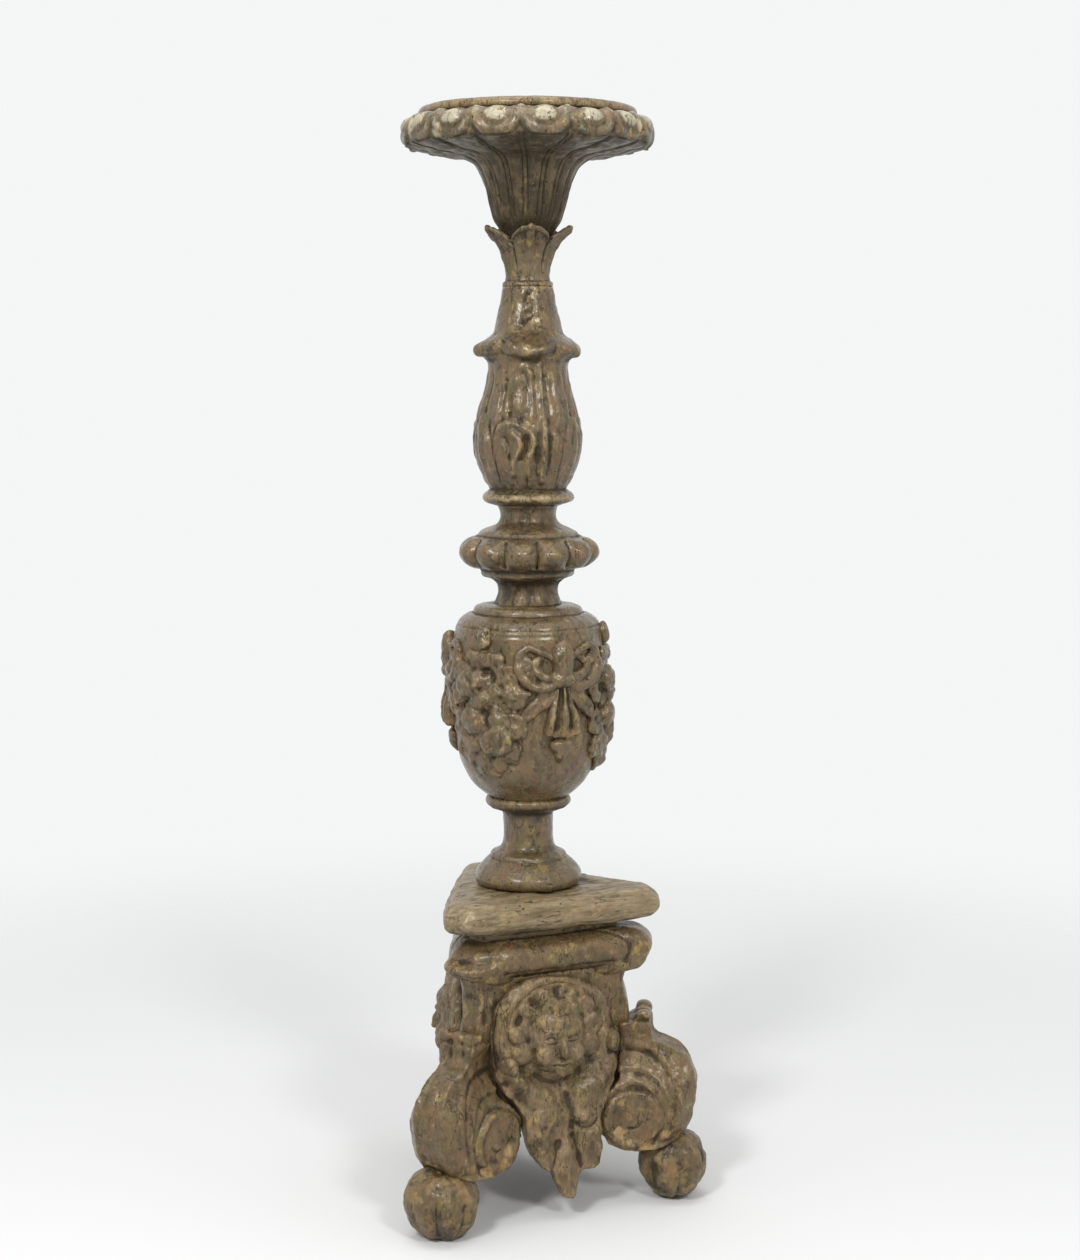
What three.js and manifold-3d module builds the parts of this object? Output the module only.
// A carved and gilded wooden torchere, built the way a turner and a carver make one: a stem of turned
// sections pegged end to end, standing on a three-sided base with a carved mask on each side and a
// scrolled leg with a ball foot at each corner. Millimetres, +Z up, standing on z = 0.
import * as THREE from "three";
import { mergeVertices } from "three/addons/utils/BufferGeometryUtils.js";
import Module from "manifold-3d";

const wasm = await Module();
wasm.setup();

// ---- Driving dimensions -------------------------------------------------------------------------
const sides = 3; // the base has three faces and three legs
const seatGap = 0.3; // left between a piece and the neighbour it is cut to

// Feet and legs
const footHeight = 45;
const footRadius = 24;
const footFlatRadius = 8; // the worn flat that it stands on
const footCircle = 95; // from the stem's axis to each foot's centre
const toeDepth = 1.6;
const toes = 7;
const legWidth = 40; // across the bulge
const legNeckWidth = 21; // across the knob on top
const legSplay = 0.16; // each cheek's lean outwards, towards the block
const legRounding = 2.5;
const legBulge = 110; // the scroll's furthest reach from the axis
const legTop = 128;
const voluteHeight = 59; // the volute's eye above the floor
const voluteReach = 69; // the volute's eye from the axis
const voluteRadius = 22.5;
const voluteRim = 19; // the raised ring round each cheek's disc
const rimWidth = 4;
const rimProud = 1.4;
const eyeRadius = 7.5;

// Base block and its mouldings
const blockBottom = 55;
const blockHeight = 103;
const blockInset = 39; // from the axis to each face, at the top
const blockInsetLow = 31; // the same at the underside, behind the masks
const blockCorner = 62; // from the axis to each canted corner
const corniceThickness = 23;
const corniceInset = 47.5;
const corniceCorner = 78;
const plateNeck = 6; // the dark recess under the top plate
const plateThickness = 21;
const plateInset = 49.5;
const plateCorner = 84;

// Masks: a carved board on each face with a pendant leaf, and a head glued to it
const maskWidth = 83;
const maskWaist = 48;
const wingDrop = 74; // the wings' lower edge above the floor
const maskDepthTop = 6;
const maskDepthLow = 19;
const pendantTip = 15; // the middle leaf's tip above the floor
const headWidth = 45;
const headLength = 54;
const headDepth = 30;
const headHeight = 117; // the head's middle above the floor
const curlRadius = 6.5;
const curlSpread = 31; // from the head's middle to the loose curls

// Turned stem, from the plate up
const stemFootHeight = 58;
const footTorusRadius = 34.3;
const footTorusHeight = 17;
const columnRadius = 16;
const collarRingRadius = 27;
const urnHeight = 124;
const urnRadius = 48;
const urnBelly = 76; // where it is widest, above its underside
const urnShoulderRadius = 34.5;
const urnFootRadius = 25;
const knopHeight = 63;
const knopRadius = 45.5;
const knopNeckRadius = 18.3;
const gadroons = 11;
const gadroonDepth = 3;
const balusterHeight = 137;
const balusterRadius = 33.5;
const balusterNeckRadius = 24.6;
const balusterRingRadius = 29;
const vaseLeaves = 9;
const vaseLeafRelief = 2; // from a low leaf's middle to the groove beside it
const vaseLeafTop = 55; // the low leaves' tips above the section's underside
const vaseTurn = THREE.MathUtils.degToRad(-6); // of the first low leaf from the front
const flangeRadius = 33.5;
const flangeLobes = 5; // leaf tips, in line with the collar's leaves
const neckTopRadius = 16;
const collarHeight = 37;
const collarWaistRadius = 14;
const collarTipRadius = 28;
const collarLeaves = 5;
const collarTurn = THREE.MathUtils.degToRad(-21); // of the first leaf from the front

// Candle pan
const bowlSeat = 11; // how deep the bowl sits in the leaf collar
const bowlHeight = 78;
const bowlFootRadius = 14.6;
const petalRadius = 77;
const petals = 14;
const petalTurn = THREE.MathUtils.degToRad(-16); // of the first petal from the front
const petalDepth = 2;
const boardThickness = 6;
const boardRadius = 66;
const spigotRadius = 24;
const spigotLength = 18;
const candleRadius = 11.3; // takes a common 22 mm candle
const candleDepth = 20;

// Pegs inside
const pegRadius = 6;
const pegGap = 0.3;
const pegEmbed = 18; // how far a peg enters each section
const legPegRadius = 4;
const legPegReach = 14;

// Carvings on the urn
const swagFruits = 10;
const swagTop = 88; // above the urn's underside
const swagDrop = 52;
const fruitRadius = 8.2;
const bowWidth = 34;
const bowHeight = 92;
const huskLength = 56;
const huskRadius = 8;

// ---- Heights that follow ------------------------------------------------------------------------
const corniceBottom = blockBottom + blockHeight;
const plateBottom = corniceBottom + corniceThickness;
const plateTop = plateBottom + plateNeck + plateThickness;
const urnBottom = plateTop + stemFootHeight;
const knopBottom = urnBottom + urnHeight;
const balusterBottom = knopBottom + knopHeight;
const collarBottom = balusterBottom + balusterHeight;
const bowlBottom = collarBottom + collarHeight - bowlSeat;
const boardBottom = bowlBottom + bowlHeight;
const boardTop = boardBottom + boardThickness;
const third = (2 * Math.PI) / sides;
const legAngle = third / 2; // from a face's middle to the next leg

// ---- Finishes -----------------------------------------------------------------------------------
const finish = (color, roughness) => new THREE.MeshStandardMaterial({ color, roughness, metalness: 0 });
const paintedWood = finish(0x74654c, 0.55);
const gildedPan = finish(0x82735a, 0.5);
const carvedWood = finish(0x6f5f49, 0.6);
const bareWood = finish(0xa98d63, 0.8);

// ---- Shape helpers ------------------------------------------------------------------------------
// A closed geometry as a manifold-3d solid.
function solid(geometry) {
  const bare = new THREE.BufferGeometry();
  const source = geometry.index ? geometry.toNonIndexed() : geometry;
  bare.setAttribute("position", source.getAttribute("position").clone());
  const merged = mergeVertices(bare, 1e-3);
  return new wasm.Manifold(
    new wasm.Mesh({
      numProp: 3,
      vertProperties: merged.attributes.position.array,
      triVerts: new Uint32Array(merged.index.array),
    }),
  );
}

// A manifold-3d solid as a geometry.
function geometryOf(body) {
  const mesh = body.getMesh();
  const geometry = new THREE.BufferGeometry();
  geometry.setAttribute("position", new THREE.BufferAttribute(new Float32Array(mesh.vertProperties), 3));
  geometry.setIndex(new THREE.BufferAttribute(new Uint32Array(mesh.triVerts), 1));
  return geometry;
}

// Revolves an outline of [radius, height] points about the Z axis. It runs up the outside.
function turned(points, steps) {
  const outline = points.map(([r, z]) => new THREE.Vector2(Math.max(r, 0), z));
  return new THREE.LatheGeometry(outline, steps).rotateX(Math.PI / 2);
}

// Points of a path through an outline, with its curves cut into a few steps.
function along(path, steps) {
  return path.getPoints(steps).map((p) => [p.x, p.y]);
}

// Moves each vertex by a carver's rule that maps (angle, radius, height) to a new radius and height.
function carve(geometry, rule) {
  const at = geometry.getAttribute("position");
  for (let i = 0; i < at.count; i++) {
    const [x, y, z] = [at.getX(i), at.getY(i), at.getZ(i)];
    const radius = Math.hypot(x, y);
    if (radius < 1e-6) continue;
    const angle = Math.atan2(y, x);
    const [newRadius, newZ] = rule(angle, radius, z);
    at.setXYZ(i, (x * newRadius) / radius, (y * newRadius) / radius, newZ);
  }
  return geometry;
}

// 1 in the middle of a lobe and 0 between two, around the stem. The first lobe faces the front, or
// stands at a turn from it.
const lobe = (angle, count, sharp = 1, turn = 0) =>
  Math.pow(Math.abs(Math.cos(((angle + Math.PI / 2 - turn) * count) / 2)), sharp);

// A smooth 0 to 1 step between two heights.
const rise = (z, low, high) => THREE.MathUtils.smoothstep(z, low, high);

// The six corners of a three-sided plan with canted corners: inset is the way to a face, corner to a cant.
function cantedTriangle(inset, corner) {
  const half = (2 * inset - corner) * Math.tan(Math.PI / 6);
  const points = [];
  for (let k = 0; k < sides; k++) {
    const out = -Math.PI / 2 + legAngle + k * third;
    for (const side of [-1, 1])
      points.push([
        corner * Math.cos(out) - side * half * Math.sin(out),
        corner * Math.sin(out) + side * half * Math.cos(out),
      ]);
  }
  return points;
}

// Lofts canted triangles, each level being [height, inset, corner], into one closed block.
function lofted(levels) {
  const rings = levels.map(([z, inset, corner]) => cantedTriangle(inset, corner).map(([x, y]) => [x, y, z]));
  const count = rings[0].length;
  const index = [];
  for (let i = 0; i + 1 < rings.length; i++)
    for (let j = 0; j < count; j++) {
      const [a, b] = [i * count + j, i * count + ((j + 1) % count)];
      index.push(a, b, b + count, a, b + count, a + count);
    }
  const top = (rings.length - 1) * count;
  for (let j = 1; j + 1 < count; j++) index.push(0, j + 1, j, top, top + j, top + j + 1);
  const geometry = new THREE.BufferGeometry();
  geometry.setAttribute("position", new THREE.BufferAttribute(new Float32Array(rings.flat(2)), 3));
  return geometry.setIndex(index);
}

// A round peg or bore along the Z axis from one height to another.
function rod(radius, low, high, steps = 16) {
  return new THREE.CylinderGeometry(radius, radius, high - low, steps)
    .rotateX(Math.PI / 2)
    .translate(0, 0, (low + high) / 2);
}

// A peg with its two ends chamfered.
function peg(radius, low, high) {
  const chamfer = radius / 4;
  return turned(
    [[0, low], [radius - chamfer, low], [radius, low + chamfer], [radius, high - chamfer],
      [radius - chamfer, high], [0, high]],
    10,
  );
}

// An egg or a ball, stretched along x, y and z.
function ball([x, y, z], [rx, ry, rz], across = 10, up = 7) {
  return new THREE.SphereGeometry(1, across, up).rotateX(Math.PI / 2).scale(rx, ry, rz).translate(x, y, z);
}

// Turns a geometry about the stem to stand over leg or face number k.
const turnedTo = (geometry, k) => geometry.clone().rotateZ(k * third);

// ---- Candle pan ---------------------------------------------------------------------------------
// A flat round board with a spigot below it, and the candle's socket sunk into both.
function panBoard() {
  const edge = new THREE.Path();
  edge.moveTo(0, boardBottom - spigotLength);
  edge.lineTo(spigotRadius, boardBottom - spigotLength);
  edge.lineTo(spigotRadius, boardBottom);
  edge.lineTo(boardRadius - 1, boardBottom);
  edge.quadraticCurveTo(boardRadius + 1, boardBottom + boardThickness / 2, boardRadius - 1.5, boardTop);
  edge.lineTo(candleRadius, boardTop);
  edge.lineTo(candleRadius, boardTop - candleDepth);
  edge.lineTo(0, boardTop - candleDepth);
  return turned(along(edge, 3), 28);
}

// The outside of the flared bowl, from its foot up to the petals' rim.
function bowlOutline() {
  const edge = new THREE.Path();
  const lip = boardBottom;
  edge.moveTo(bowlFootRadius, bowlBottom);
  edge.quadraticCurveTo(23, lip - 58, 26, lip - 44);
  edge.quadraticCurveTo(29.5, lip - 27, 41, lip - 22.5);
  edge.lineTo(petalRadius - 8, lip - 20.5);
  edge.quadraticCurveTo(petalRadius, lip - 20, petalRadius, lip - 14);
  edge.quadraticCurveTo(petalRadius - 1, lip - 5, petalRadius - 10, lip);
  return edge;
}

// Petals round the rim run down the flare as flutes.
function flutedBowl(angle, radius, z) {
  const out = rise(radius, bowlFootRadius, petalRadius);
  const swell = petalDepth * (0.35 + 0.65 * out) * (2 * lobe(angle, petals, 1, petalTurn) - 1);
  return [radius + swell * rise(z, bowlBottom + bowlSeat, bowlBottom + 2.5 * bowlSeat), z];
}

function panBowl() {
  const socket = spigotRadius + seatGap;
  const floor = boardBottom - spigotLength - seatGap;
  const outside = along(bowlOutline(), 2);
  const body = turned([[0, bowlBottom], ...outside, [socket, boardBottom], [socket, floor], [0, floor]], 4 * petals);
  carve(body, (a, r, z) => (r > socket + 1 || z < floor - 1 ? flutedBowl(a, r, z) : [r, z]));
  return geometryOf(solid(body).subtract(solid(rod(pegRadius + pegGap, bowlBottom - 1, upperPegTop + pegGap))));
}

// ---- Stem ---------------------------------------------------------------------------------------
// A cup of leaves that holds the bowl's foot, bored through for the peg.
function leafCollar() {
  const top = collarBottom + collarHeight;
  const bore = pegRadius + pegGap;
  const edge = new THREE.Path();
  edge.moveTo(bore, collarBottom);
  edge.lineTo(collarWaistRadius + 1.8, collarBottom);
  edge.lineTo(collarWaistRadius + 1.8, collarBottom + 3.5);
  edge.quadraticCurveTo(collarWaistRadius - 0.8, collarBottom + 8, collarWaistRadius + 0.6, collarBottom + 16);
  edge.quadraticCurveTo(collarWaistRadius + 3, top - 11, collarTipRadius - 5, top - 4);
  edge.lineTo(collarTipRadius, top - 1.5);
  edge.lineTo(collarTipRadius - 1.5, top);
  edge.lineTo(collarTipRadius - 7, top - 4);
  edge.lineTo(bowlFootRadius + 2.6, bowlBottom + 2);
  edge.lineTo(bowlFootRadius + 1.2, bowlBottom);
  edge.lineTo(bore, bowlBottom);
  edge.closePath();
  const body = turned(along(edge, 3), 5 * collarLeaves);
  return carve(body, (angle, radius, z) => {
    const tip = rise(radius, collarWaistRadius + 4, collarTipRadius);
    const gap = 1 - lobe(angle, collarLeaves, 0.7, collarTurn);
    return [radius - 5 * tip * gap, z - 5 * tip * gap];
  });
}

// The vase-shaped section: ring, leafy body, flange of leaf tips and a plain tapering neck.
function balusterSection() {
  const low = balusterBottom;
  const flange = collarBottom - 40;
  const bore = pegRadius + pegGap;
  const edge = new THREE.Path();
  edge.moveTo(0, low + pegEmbed + pegGap);
  edge.lineTo(bore, low + pegEmbed + pegGap);
  edge.lineTo(bore, low);
  edge.lineTo(knopNeckRadius + 1.5, low);
  edge.quadraticCurveTo(balusterRingRadius, low + 1, balusterRingRadius, low + 5);
  edge.lineTo(balusterNeckRadius, low + 10.5);
  edge.quadraticCurveTo(balusterRadius + 0.5, low + 26, balusterRadius, low + 42);
  edge.lineTo(balusterRadius - 0.8, low + vaseLeafTop - 3);
  edge.lineTo(balusterRadius - 1.6, low + vaseLeafTop + 2);
  edge.quadraticCurveTo(balusterRadius - 3, low + 68, balusterRadius - 8.5, flange - 10);
  edge.lineTo(flangeRadius - 7.5, flange - 6);
  edge.lineTo(flangeRadius, flange - 1);
  edge.lineTo(flangeRadius - 1, flange + 3);
  edge.quadraticCurveTo(neckTopRadius + 5.5, flange + 8, neckTopRadius + 4.5, flange + 17);
  edge.lineTo(neckTopRadius, collarBottom);
  edge.lineTo(bore, collarBottom);
  edge.lineTo(bore, upperPegBottom - pegGap);
  edge.lineTo(0, upperPegBottom - pegGap);
  const body = turned(along(edge, 3), vaseLeaves * flangeLobes);
  return carve(body, (angle, radius, z) => {
    const outside = radius > bore + 1 ? 1 : 0;
    const vase = outside * rise(z, low + 12, low + 26) * (1 - rise(z, flange - 20, flange - 10));
    const tier = 0.4 + 0.6 * (1 - rise(z, low + vaseLeafTop - 3, low + vaseLeafTop + 2));
    const leaves = vaseLeafRelief * vase * tier * (lobe(angle, vaseLeaves, 0.7, vaseTurn) - 0.6);
    const lip = rise(radius, balusterNeckRadius, flangeRadius) * rise(z, flange - 9, flange - 3);
    const gap = 1 - lobe(angle, flangeLobes, 0.8, collarTurn);
    return [radius + leaves - 4 * lip * gap, z + 1.5 * lip * (2 * gap - 1)];
  });
}

// The gadrooned knop between two necks.
function knopSection() {
  const low = knopBottom;
  const middle = low + 34;
  const bore = pegRadius + pegGap;
  const edge = new THREE.Path();
  edge.moveTo(0, low + pegEmbed + pegGap);
  edge.lineTo(bore, low + pegEmbed + pegGap);
  edge.lineTo(bore, low);
  edge.lineTo(knopNeckRadius + 3, low);
  edge.quadraticCurveTo(knopNeckRadius - 1, low + 8, knopNeckRadius + 3, low + 16);
  edge.lineTo(knopNeckRadius + 10, low + 18.5);
  edge.lineTo(knopNeckRadius + 10.8, low + 23);
  edge.quadraticCurveTo(knopRadius, middle - 8, knopRadius, middle);
  edge.quadraticCurveTo(knopRadius, middle + 8, knopNeckRadius + 14, middle + 10);
  edge.lineTo(knopNeckRadius + 13, middle + 13);
  edge.quadraticCurveTo(knopNeckRadius - 1, middle + 16, knopNeckRadius, balusterBottom - 6);
  edge.lineTo(knopNeckRadius + 1.5, balusterBottom);
  edge.lineTo(bore, balusterBottom);
  edge.lineTo(bore, balusterBottom - pegEmbed - pegGap);
  edge.lineTo(0, balusterBottom - pegEmbed - pegGap);
  const body = turned(along(edge, 2), 3 * gadroons);
  return carve(body, (angle, radius, z) => {
    const fat = rise(radius, knopNeckRadius + 14, knopRadius);
    return [radius - 2 * gadroonDepth * fat * (1 - lobe(angle, gadroons, 0.8)), z];
  });
}

// The urn's outside wall, from its foot to its neck. Grow swells it, to cut what lies on it.
function urnOutline(grow = 0) {
  const low = urnBottom;
  const rim = low + urnHeight - 6;
  const edge = new THREE.Path();
  edge.moveTo(urnFootRadius + grow, low);
  edge.lineTo(urnFootRadius + 4 + grow, low + 3);
  edge.bezierCurveTo(
    urnRadius - 8 + grow, low + 10, urnRadius - 1.5 + grow, low + urnBelly - 44, urnRadius + grow, low + urnBelly,
  );
  edge.bezierCurveTo(
    urnRadius + grow, rim - 18, urnRadius - 4 + grow, rim - 4, urnShoulderRadius + 2 + grow, rim,
  );
  edge.lineTo(urnShoulderRadius + grow, rim + 1);
  edge.lineTo(urnShoulderRadius - 1 + grow, rim + 4.5);
  edge.lineTo(knopNeckRadius + 3 + grow, low + urnHeight);
  return along(edge, 3);
}

function urnSection() {
  const low = urnBottom;
  const bore = pegRadius + pegGap;
  return turned(
    [[0, low + pegEmbed + pegGap], [bore, low + pegEmbed + pegGap], [bore, low], ...urnOutline(),
      [bore, knopBottom], [bore, knopBottom - pegEmbed - pegGap], [0, knopBottom - pegEmbed - pegGap]],
    28,
  );
}

// The plain column on its round foot, under the urn's collar ring.
function stemFootSection() {
  const low = plateTop;
  const bore = pegRadius + pegGap;
  const edge = new THREE.Path();
  edge.moveTo(0, low + pegEmbed + pegGap);
  edge.lineTo(bore, low + pegEmbed + pegGap);
  edge.lineTo(bore, low);
  edge.lineTo(footTorusRadius - 3, low);
  edge.quadraticCurveTo(footTorusRadius + 2, low + 5, footTorusRadius - 2, low + footTorusHeight - 6);
  edge.lineTo(footTorusRadius - 8, low + footTorusHeight);
  edge.quadraticCurveTo(columnRadius + 8, low + footTorusHeight + 5, columnRadius + 1, low + 24);
  edge.quadraticCurveTo(columnRadius - 1, low + 34, columnRadius + 0.6, urnBottom - 10);
  edge.lineTo(collarRingRadius - 5, urnBottom - 9);
  edge.quadraticCurveTo(collarRingRadius + 2, urnBottom - 4, urnFootRadius, urnBottom);
  edge.lineTo(bore, urnBottom);
  edge.lineTo(bore, urnBottom - pegEmbed - pegGap);
  edge.lineTo(0, urnBottom - pegEmbed - pegGap);
  return turned(along(edge, 2), 24);
}

// ---- Pegs of the stem ---------------------------------------------------------------------------
const upperPegBottom = collarBottom - pegEmbed;
const upperPegTop = bowlBottom + pegEmbed;
const platePegBottom = corniceBottom - pegEmbed;

// ---- Carvings on the urn ------------------------------------------------------------------------
// A point on the urn at an angle round it and a height above its underside, a little proud of the wall.
function onUrn(angle, height, proud = 0) {
  const wall = urnOutline();
  const z = urnBottom + height;
  const next = Math.max(1, wall.findIndex((p) => p[1] > z));
  const [[r0, z0], [r1, z1]] = [wall[next - 1], wall[next]];
  const radius = r0 + ((r1 - r0) * (z - z0)) / (z1 - z0) + proud;
  return [radius * Math.cos(angle), radius * Math.sin(angle), z];
}

const urnClearance = solid(
  turned([[0, urnBottom], ...urnOutline(seatGap), [0, urnBottom + urnHeight]], 28),
);

// A swag of fruit hanging between two bows, fattest where it hangs lowest.
function swag() {
  const middle = -Math.PI / 2 + legAngle;
  const span = third / 2 - bowWidth / 3 / urnRadius;
  const hang = (t) => onUrn(middle + t * span, swagTop - swagDrop * (1 - Math.abs(t) ** 2.4), 1.2);
  const spots = [-1, -0.75, -0.5, -0.25, 0, 0.25, 0.5, 0.75, 1].map((t) => new THREE.Vector3(...hang(t)));
  const rope = new THREE.CatmullRomCurve3(spots);
  const fruits = [];
  for (let i = 0; i < swagFruits; i++) {
    const t = i / (swagFruits - 1);
    const size = fruitRadius * (1.15 - 0.4 * (2 * t - 1) ** 2);
    fruits.push(ball(rope.getPointAt(t).toArray(), [size, size, size * 1.12], 6, 4));
  }
  const bows = [0, 1].map((k) => bowShapes(seatGap).rotate([0, 0, (k * 360) / sides]));
  const body = wasm.Manifold.union(fruits.map(solid)).subtract(urnClearance);
  return geometryOf(largest(body.subtract(wasm.Manifold.union(bows))));
}

// A ribbon bow: a knot with a loop either side and two tails. Grow swells it, to cut its neighbours.
function bowShapes(grow = 0) {
  const face = -Math.PI / 2;
  const loop = bowWidth / 4;
  const lump = (across, height, proud, size) =>
    ball(onUrn(face + across / urnRadius, height, proud), size.map((r) => r + grow), 6, 5);
  const shapes = [lump(0, bowHeight + 2, 2, [5, 5.5, 9])];
  for (const side of [-1, 1]) {
    shapes.push(lump(side * loop * 1.15, bowHeight + 3, 0.6, [loop, 5.5, loop * 1.15]));
    shapes.push(lump(side * loop * 1.5, bowHeight - 12, 0.4, [loop * 0.8, 5, loop]));
  }
  return wasm.Manifold.union(shapes.map(solid));
}

const bow = () => geometryOf(bowShapes().subtract(urnClearance));

// A drop of husks below each bow, wide at its top and pointed at its end.
function huskDrop() {
  const top = bowHeight - 12;
  const husks = [0.12, 0.45, 0.8].map((t, i) => {
    const size = huskRadius * (1 - 0.22 * i);
    return ball(onUrn(-Math.PI / 2, top - t * huskLength, 0.5), [size, 6.5, huskLength / 4.2], 7, 5);
  });
  const body = wasm.Manifold.union(husks.map(solid)).subtract(urnClearance);
  return geometryOf(largest(body.subtract(bowShapes(seatGap))));
}

// The biggest of the separate bodies that a cut has left.
function largest(body) {
  return body.decompose().reduce((a, b) => (b.volume() > a.volume() ? b : a));
}

// ---- Base ---------------------------------------------------------------------------------------
function topPlate() {
  const [low, rim] = [plateBottom, plateBottom + plateNeck];
  const body = lofted([
    [low, plateInset - 16, plateCorner - 26],
    [rim, plateInset - 14, plateCorner - 23],
    [rim + 1, plateInset - 6, plateCorner - 8],
    [rim + 7, plateInset, plateCorner],
    [rim + 12, plateInset, plateCorner],
    [plateTop - 3, plateInset - 3.5, plateCorner - 4],
    [plateTop, plateInset - 7, plateCorner - 9],
  ]);
  return geometryOf(solid(body).subtract(solid(rod(pegRadius + pegGap, low - 1, plateTop + 1))));
}

function cornice() {
  const low = corniceBottom;
  const body = lofted([
    [low, corniceInset - 10, corniceCorner - 12],
    [low + 4, corniceInset - 3, corniceCorner - 4],
    [low + 9, corniceInset, corniceCorner],
    [low + 15, corniceInset, corniceCorner],
    [low + 20, corniceInset - 4, corniceCorner - 5],
    [plateBottom, corniceInset - 10, corniceCorner - 14],
  ]);
  return geometryOf(solid(body).subtract(solid(rod(pegRadius + pegGap, low - 1, plateBottom + 1))));
}

// The triangular core that carries the masks on its faces and the legs on its canted corners.
function blockLevels(grow = 0) {
  const waist = blockBottom + 35;
  return [
    [blockBottom, blockInsetLow + grow, blockCorner - 3 + grow],
    [waist, blockInset - 4 + grow, blockCorner - 1 + grow],
    [waist + 30, blockInset + grow, blockCorner + grow],
    [corniceBottom, blockInset + grow, blockCorner + grow],
  ];
}

function coreBlock() {
  let body = solid(lofted(blockLevels()));
  body = body.subtract(solid(rod(pegRadius + pegGap, platePegBottom - pegGap, corniceBottom + 1)));
  for (let k = 0; k < sides; k++) body = body.subtract(solid(turnedTo(legBore(), k)));
  return geometryOf(body);
}

// ---- Legs and feet, made at the front right corner ----------------------------------------------
const legDirection = -Math.PI / 2 + legAngle;

// Stands a shape drawn as [reach, height] up at the leg's corner.
function atLeg(geometry) {
  return geometry.rotateX(Math.PI / 2).rotateZ(legDirection);
}

// A level round bar along the leg's direction.
function reachRod(radius, near, far, height) {
  return new THREE.CylinderGeometry(radius, radius, far - near, 12)
    .rotateZ(-Math.PI / 2)
    .translate((near + far) / 2, 0, height)
    .rotateZ(legDirection);
}

const legPegHeight = 100;
const legPegNear = blockCorner - legPegReach;
const legPegFar = blockCorner + legPegReach;
const legBore = () =>
  reachRod(legPegRadius + pegGap, legPegNear - pegGap, legPegFar + pegGap, legPegHeight);

// The scroll's side: up the post, over the knob, out round the bulge, and in under the volute.
function legOutline() {
  const shape = new THREE.Shape();
  const back = blockCorner - 2;
  const knob = back + 20;
  shape.moveTo(back, legTop - 9);
  shape.lineTo(knob - 11, legTop - 8);
  shape.quadraticCurveTo(knob - 9, legTop, knob - 5, legTop - 1);
  shape.quadraticCurveTo(knob + 0.5, legTop - 1, knob, legTop - 8);
  shape.lineTo(knob, legTop - 20);
  shape.quadraticCurveTo(legBulge - 9, legTop - 25, legBulge - 2.5, legTop - 39);
  shape.quadraticCurveTo(legBulge + 3, legTop - 57, legBulge - 7, legTop - 82);
  shape.lineTo(footCircle - 8, footHeight - 7);
  shape.absarc(voluteReach, voluteHeight, voluteRadius, -Math.PI * 0.42, -Math.PI * 1.25, true);
  shape.lineTo(back, voluteHeight + voluteRadius + 3);
  shape.closePath();
  return shape;
}

// Narrows the leg to its knob, and leans its cheeks outwards behind the bulge.
function pearShaped(geometry) {
  const at = geometry.getAttribute("position");
  for (let i = 0; i < at.count; i++) {
    const [reach, height] = [at.getX(i), at.getY(i)];
    const spread = legWidth - legNeckWidth + 2 * legSplay * (legBulge - 10 - reach);
    const width = legNeckWidth + spread * (1 - rise(height, voluteHeight + 9, legTop - 24));
    at.setZ(i, (at.getZ(i) * width) / legWidth);
  }
  return geometry;
}

// The whole scroll, with a raised ring and eye on each cheek.
function legShape() {
  const core = legWidth - 2 * legRounding;
  const side = new THREE.ExtrudeGeometry(legOutline(), {
    depth: core, bevelEnabled: true, bevelThickness: legRounding, bevelSize: legRounding,
    bevelOffset: -legRounding, bevelSegments: 1, curveSegments: 4,
  });
  side.translate(0, 0, -core / 2);
  const disc = (radius, reach, steps) =>
    solid(atLeg(pearShaped(rod(radius, -reach, reach, steps).translate(voluteReach, voluteHeight, 0))));
  const proud = legWidth / 2 + rimProud;
  const ring = disc(voluteRim, proud, 20).subtract(disc(voluteRim - rimWidth, 2 * legWidth, 20));
  return solid(atLeg(pearShaped(side))).add(ring).add(disc(eyeRadius, proud, 12));
}

// The room that a leg needs, with the seat gap on every side of it.
function legRoom() {
  const shape = legShape();
  const shifts = [-seatGap, seatGap].flatMap((gap) => [[gap, 0, 0], [0, gap, 0], [0, 0, gap]]);
  return wasm.Manifold.union([shape, ...shifts.map((shift) => shape.translate(shift))]);
}

function leg() {
  let body = legShape().subtract(solid(lofted(blockLevels(seatGap))));
  body = body.subtract(solid(footBall(seatGap))).subtract(solid(legBore()));
  return geometryOf(largest(body.subtract(solid(footBore()))));
}

// A ball foot, worn flat underneath, with shallow toes cut round it.
function footBall(grow = 0) {
  const middle = footHeight / 2;
  const reach = footRadius + grow;
  const points = [[0, -grow], [footFlatRadius, -grow]];
  const start = Math.asin(-middle / Math.hypot(footFlatRadius, middle));
  for (let i = 1; i < 8; i++) {
    const turn = start + ((Math.PI / 2 - start) * i) / 8;
    points.push([reach * Math.cos(turn), middle + (middle + grow) * Math.sin(turn)]);
  }
  points.push([0, footHeight + grow]);
  const body = carve(turned(points, 3 * toes), (angle, radius, z) => {
    const girth = rise(radius, footFlatRadius, footRadius);
    return [radius - toeDepth * girth * (1 - lobe(angle, toes, 1, legAngle)), z];
  });
  return body.translate(footCircle * Math.cos(legDirection), footCircle * Math.sin(legDirection), 0);
}

const footPegLow = footHeight / 2 - 8;
const footPegHigh = footHeight + pegEmbed - 2;
const overFoot = (geometry) =>
  geometry.translate(footCircle * Math.cos(legDirection), footCircle * Math.sin(legDirection), 0);
const footBore = () => overFoot(rod(legPegRadius + pegGap, footPegLow - pegGap, footPegHigh + pegGap, 12));
const foot = () => geometryOf(solid(footBall()).subtract(solid(footBore())));

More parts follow.
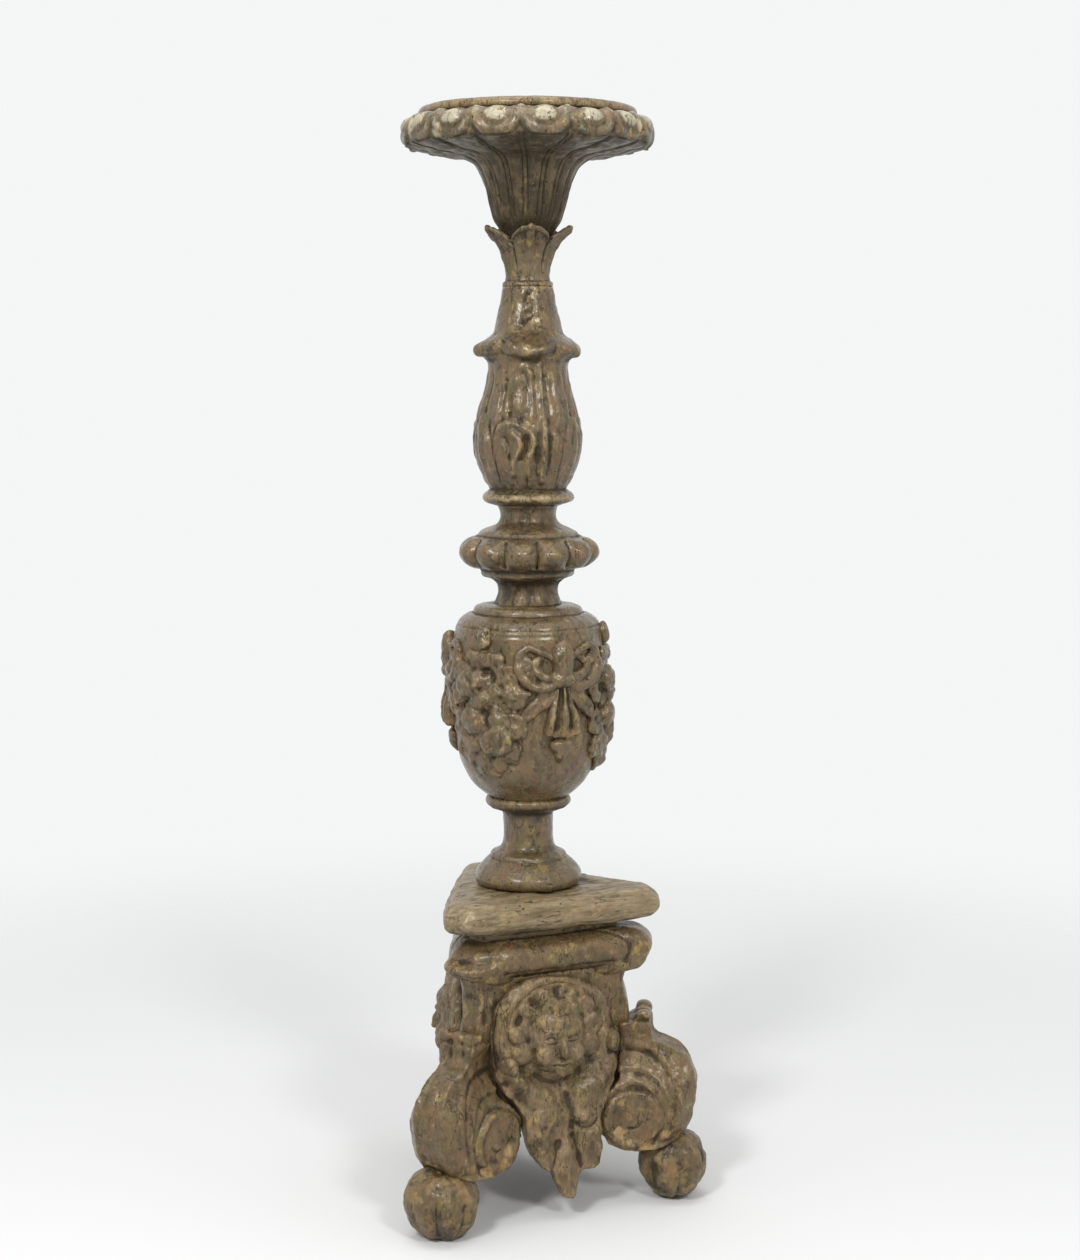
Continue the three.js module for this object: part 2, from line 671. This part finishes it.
// ---- Masks, made on the front face --------------------------------------------------------------
// The board's outline: an arched head, a waist between the legs and a pendant of three leaves.
function maskOutline() {
  const top = corniceBottom - 1;
  const [half, waist] = [maskWidth / 2, maskWaist / 2];
  const brow = headHeight - 9;
  const apron = blockBottom - 4;
  const shape = new THREE.Shape();
  shape.moveTo(-half, brow);
  shape.lineTo(-half - 2, wingDrop + 10);
  shape.quadraticCurveTo(-half - 1, wingDrop, -waist, apron + 6);
  shape.lineTo(-waist + 3, apron);
  shape.quadraticCurveTo(-waist + 4, apron - 10, -14, pendantTip + 16);
  shape.lineTo(-9, pendantTip + 20);
  shape.quadraticCurveTo(-8, pendantTip + 10, -1, pendantTip);
  shape.lineTo(1, pendantTip);
  shape.quadraticCurveTo(8, pendantTip + 10, 9, pendantTip + 20);
  shape.lineTo(14, pendantTip + 16);
  shape.quadraticCurveTo(waist - 4, apron - 10, waist - 3, apron);
  shape.lineTo(waist, apron + 6);
  shape.quadraticCurveTo(half + 1, wingDrop, half + 2, wingDrop + 10);
  shape.lineTo(half, brow);
  shape.bezierCurveTo(half, top - 12, half / 2, top, 0, top);
  shape.bezierCurveTo(-half / 2, top, -half, top - 12, -half, brow);
  return shape;
}

// How far the board's face stands from the axis at a height.
function maskFace(z) {
  const down = THREE.MathUtils.clamp((corniceBottom - z) / (corniceBottom - pendantTip), 0, 1);
  return blockInset + maskDepthTop + (maskDepthLow - maskDepthTop) * down;
}

function maskBoard() {
  const slab = new THREE.ExtrudeGeometry(maskOutline(), { depth: 1, bevelEnabled: false, curveSegments: 5 });
  slab.rotateX(Math.PI / 2);
  const at = slab.getAttribute("position");
  for (let i = 0; i < at.count; i++) {
    const z = at.getZ(i);
    const lean = (maskFace(z) - maskFace(corniceBottom)) * rise(blockBottom + 5 - z, 0, 20);
    const back = blockInset + seatGap + lean * 0.6;
    at.setY(i, at.getY(i) < -0.5 ? -maskFace(z) : -back);
  }
  const legs = [0, sides - 1].map((k) => legRoom().rotate([0, 0, (k * 360) / sides]));
  return geometryOf(largest(solid(slab).subtract(wasm.Manifold.union(legs))));
}

// A rounded head, its face calm and plain, with a cap of hair and loose curls round it. It is cut flat
// behind, where it is glued to the board.
function head() {
  const depth = maskFace(headHeight);
  const [half, tall, deep] = [headWidth / 2, headLength / 2, headDepth * 0.6];
  const shapes = [
    ball([0, -depth, headHeight - 1], [half * 0.82, deep, tall * 0.94], 10, 7),
    ball([0, -depth, headHeight + tall * 0.5], [half * 0.92, deep * 0.85, tall * 0.55], 10, 6),
    ball([0, -depth - deep * 0.86, headHeight - tall * 0.1], [3.2, 4.2, 5.5], 6, 5),
    ball([0, -depth - deep * 0.55, headHeight - tall * 0.68], [8, 6, 6], 7, 5),
  ];
  for (const side of [-1, 1]) {
    const cheek = [side * half * 0.4, -depth - deep * 0.6, headHeight - tall * 0.3];
    shapes.push(ball(cheek, [7.5, 7, 8.5], 7, 5));
    for (const turn of [0.3, 0.85, 1.4, 1.95]) {
      const across = side * curlSpread * Math.sin(turn);
      const up = headHeight + (curlSpread - 6) * Math.cos(turn);
      shapes.push(ball([across, -depth, up], [curlRadius, curlRadius + 2, curlRadius], 6, 4));
    }
  }
  shapes.push(headBacking(depth));
  const room = 4 * headLength;
  const front = new THREE.BoxGeometry(room, room, room).translate(0, -depth - seatGap - room / 2, headHeight);
  const body = wasm.Manifold.union(shapes.map(solid)).intersect(solid(front));
  return geometryOf(largest(body.subtract(solid(maskBoard().translate(0, -seatGap, 0)))));
}

// The thin hair behind the head, which joins the curls.
const headBacking = (depth) => ball([0, -depth, headHeight], [curlSpread + 2, 4, curlSpread - 4], 14, 8);

// ---- Assembly -----------------------------------------------------------------------------------
const stand = new THREE.Group();

function place(name, geometry, material, side = 0) {
  const mesh = new THREE.Mesh(geometry, material);
  mesh.name = name;
  mesh.rotation.z = side * third;
  stand.add(mesh);
}

place("candle_board", panBoard(), gildedPan);
place("petal_bowl", panBowl(), gildedPan);
place("leaf_collar", leafCollar(), paintedWood);
place("leafy_baluster", balusterSection(), paintedWood);
place("gadroon_knop", knopSection(), paintedWood);
place("urn_body", urnSection(), paintedWood);
place("column_foot", stemFootSection(), paintedWood);
place("upper_peg", peg(pegRadius, upperPegBottom, upperPegTop), bareWood);
place("baluster_peg", peg(pegRadius, balusterBottom - pegEmbed, balusterBottom + pegEmbed), bareWood);
place("knop_peg", peg(pegRadius, knopBottom - pegEmbed, knopBottom + pegEmbed), bareWood);
place("urn_peg", peg(pegRadius, urnBottom - pegEmbed, urnBottom + pegEmbed), bareWood);
place("plate_peg", peg(pegRadius, platePegBottom, plateTop + pegEmbed), bareWood);
place("top_plate", topPlate(), paintedWood);
place("cornice", cornice(), paintedWood);
place("core_block", coreBlock(), paintedWood);

const copies = {
  swag: [swag(), carvedWood],
  ribbon_bow: [bow(), carvedWood],
  husk_drop: [huskDrop(), carvedWood],
  mask_board: [maskBoard(), carvedWood],
  cherub_head: [head(), carvedWood],
  scroll_leg: [leg(), carvedWood],
  ball_foot: [foot(), carvedWood],
  foot_peg: [overFoot(peg(legPegRadius, footPegLow, footPegHigh)), bareWood],
  leg_peg: [reachRod(legPegRadius, legPegNear, legPegFar, legPegHeight), bareWood],
};
for (const [name, [geometry, material]] of Object.entries(copies))
  for (let k = 0; k < sides; k++) place(`${name}_${k + 1}`, geometry, material, k);

// The origin is the middle of the footprint's box, on the floor.
const reach = new THREE.Box3().setFromObject(stand, true);
const middle = reach.getCenter(new THREE.Vector3());
stand.position.set(-middle.x, -middle.y, -reach.min.z);

export default stand;
